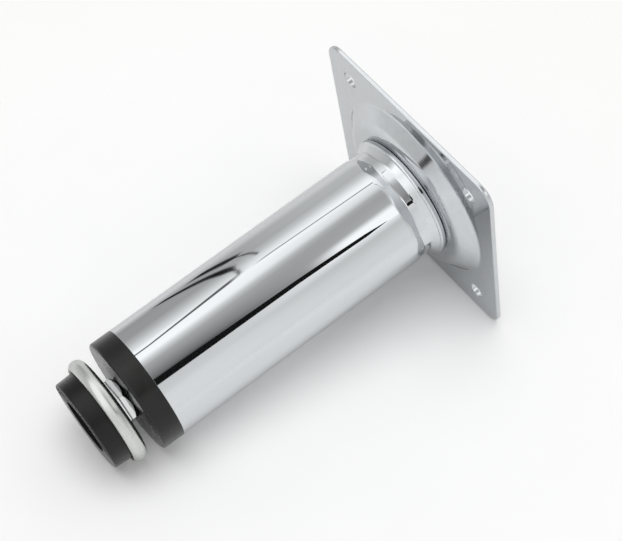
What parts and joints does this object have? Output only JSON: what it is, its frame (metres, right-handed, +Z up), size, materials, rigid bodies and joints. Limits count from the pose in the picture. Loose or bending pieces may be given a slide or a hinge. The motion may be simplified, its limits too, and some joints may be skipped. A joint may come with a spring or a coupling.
{
  "type": "sofa leg",
  "caption": "Round chromed sofa leg: a tube with a pressed square mounting plate on top and a screw-adjusted foot below, with a metal cup on a black plastic pad.",
  "frame": {"origin": "centre of the foot pad's underside, on the floor", "axes": "+Z up along the tube to the mounting plate; X and Y along the plate's sides"},
  "size_m": [0.076, 0.076, 0.127],
  "materials": {
    "plate_chrome": "bright chrome plate on pressed sheet steel",
    "tube_chrome": "bright chrome plate on polished steel tube",
    "black_plastic": "fine satin moulding",
    "zinc_steel": "zinc plate",
    "bright_steel": "bright zinc plate",
    "satin_nickel": "satin nickel plate on pressed steel",
    "pad_plastic": "fine satin moulding"
  },
  "bodies": {
    "leg": {"mounting_plate": "plate_chrome", "tube": "tube_chrome", "end_plug": "black_plastic", "insert_nut": "zinc_steel"},
    "foot": {"foot_cup": "satin_nickel", "foot_pad": "pad_plastic"},
    "stud": {"foot_stud": "bright_steel"}
  },
  "joints": [
    {"name": "foot_travel", "type": "slide", "parent": "leg", "child": "foot", "axis": [0, 0, -1], "range_m": [0, 0.015]},
    {"name": "stud_turn", "type": "hinge", "parent": "foot", "child": "stud", "pos_m": [0, 0, 0.012], "axis": [0, 0, -1], "range_deg": [-5, 3605]}
  ],
  "couplings": [
    {"joint": "stud_turn", "follows": "foot_travel", "rad_per_m": 4188.8}
  ]
}
